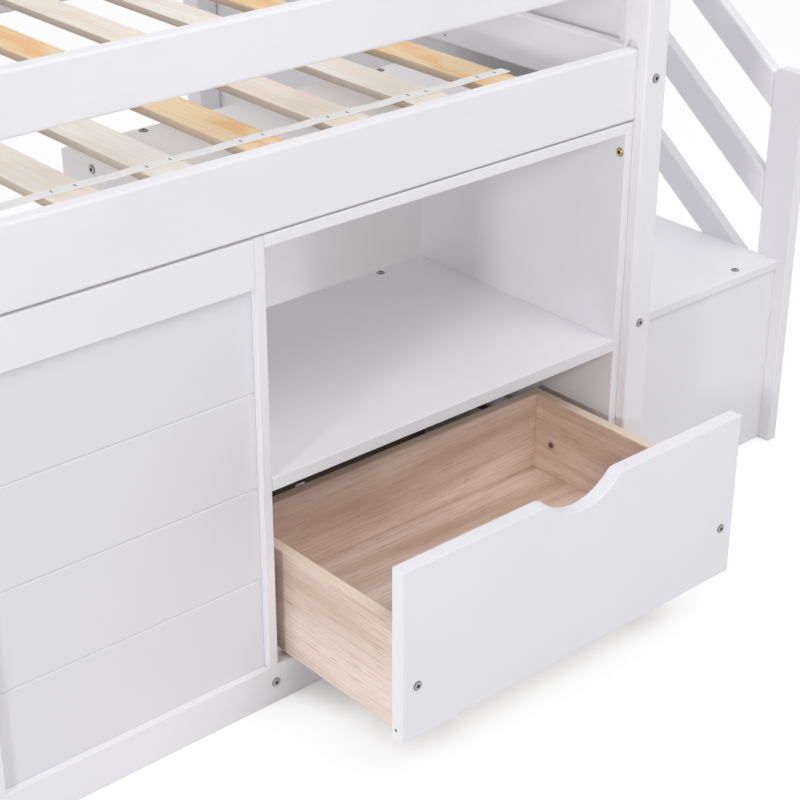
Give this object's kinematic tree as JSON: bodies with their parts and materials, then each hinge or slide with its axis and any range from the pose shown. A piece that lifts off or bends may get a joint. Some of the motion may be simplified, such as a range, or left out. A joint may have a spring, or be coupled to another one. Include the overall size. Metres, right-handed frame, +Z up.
{
  "type": "low loft bed with stairs",
  "caption": "Low loft bed with slatted deck, guard rails, stairs with a sloped hand rail at the foot end, and a shelf and sliding drawer unit with a grooved panel underneath",
  "frame": {"origin": "middle of the floor under the whole object, with the drawer pulled out as in the picture", "axes": "+X along the bed towards the stairs, +Y from the drawer side to the wall side, +Z up"},
  "size_m": [2.4354, 1.3432, 1.14],
  "materials": {
    "white_paint": "smooth white lacquer on pine and fibre board",
    "slat_wood_pale": "planed bare pine, pale",
    "slat_wood_warm": "planed bare pine, warm",
    "webbing": "woven webbing",
    "oak_laminate": "oak-look laminate on board",
    "zinc_steel": "zinc-plated sheet"
  },
  "bodies": {
    "bed": {"back_foot_post": "white_paint", "back_head_post": "white_paint", "back_lower_guard_rail": "white_paint", "back_newel": "white_paint", "back_side_rail": "white_paint", "back_strap": "webbing", "back_upper_guard_rail": "white_paint", "foot_rail": "white_paint", "front_foot_post": "white_paint", "front_head_post": "white_paint", "front_lower_guard_rail": "white_paint", "front_newel": "white_paint", "front_side_rail": "white_paint", "front_strap": "webbing", "front_upper_guard_rail": "white_paint", "head_lower_guard_rail": "white_paint", "head_rail": "white_paint", "head_upper_guard_rail": "white_paint", "landing_rail_1": "white_paint", "landing_rail_2": "white_paint", "left_runner_channel": "zinc_steel", "middle_newel": "white_paint", "plank_frame": "white_paint", "plank_panel": "white_paint", "right_runner_channel": "zinc_steel", "slat_01": "slat_wood_pale", "slat_02": "slat_wood_pale", "slat_03": "slat_wood_warm", "slat_04": "slat_wood_pale", "slat_05": "slat_wood_pale", "slat_06": "slat_wood_warm", "slat_07": "slat_wood_pale", "slat_08": "slat_wood_pale", "slat_09": "slat_wood_warm", "slat_10": "slat_wood_pale", "slat_11": "slat_wood_pale", "slat_12": "slat_wood_warm", "stair_first_tread": "white_paint", "stair_front_panel": "white_paint", "stair_inner_panel": "white_paint", "stair_landing": "white_paint", "stair_outer_panel": "white_paint", "stair_rail_1": "white_paint", "stair_rail_2": "white_paint", "stair_rail_3": "white_paint", "stair_second_riser": "white_paint", "stair_second_tread": "white_paint", "stair_third_riser": "white_paint", "unit_left_side": "white_paint", "unit_lower_back": "white_paint", "unit_right_side": "white_paint", "unit_shelf": "white_paint", "unit_top_panel": "white_paint"},
    "drawer": {"drawer_front": "white_paint", "drawer_left_side": "oak_laminate", "drawer_right_side": "oak_laminate", "drawer_back": "oak_laminate", "drawer_bottom": "oak_laminate", "left_drawer_slide": "zinc_steel", "right_drawer_slide": "zinc_steel"}
  },
  "joints": [
    {"name": "drawer_slide", "type": "slide", "parent": "bed", "child": "drawer", "axis": [0, -1, 0], "range_m": [-0.2488, 0]}
  ]
}
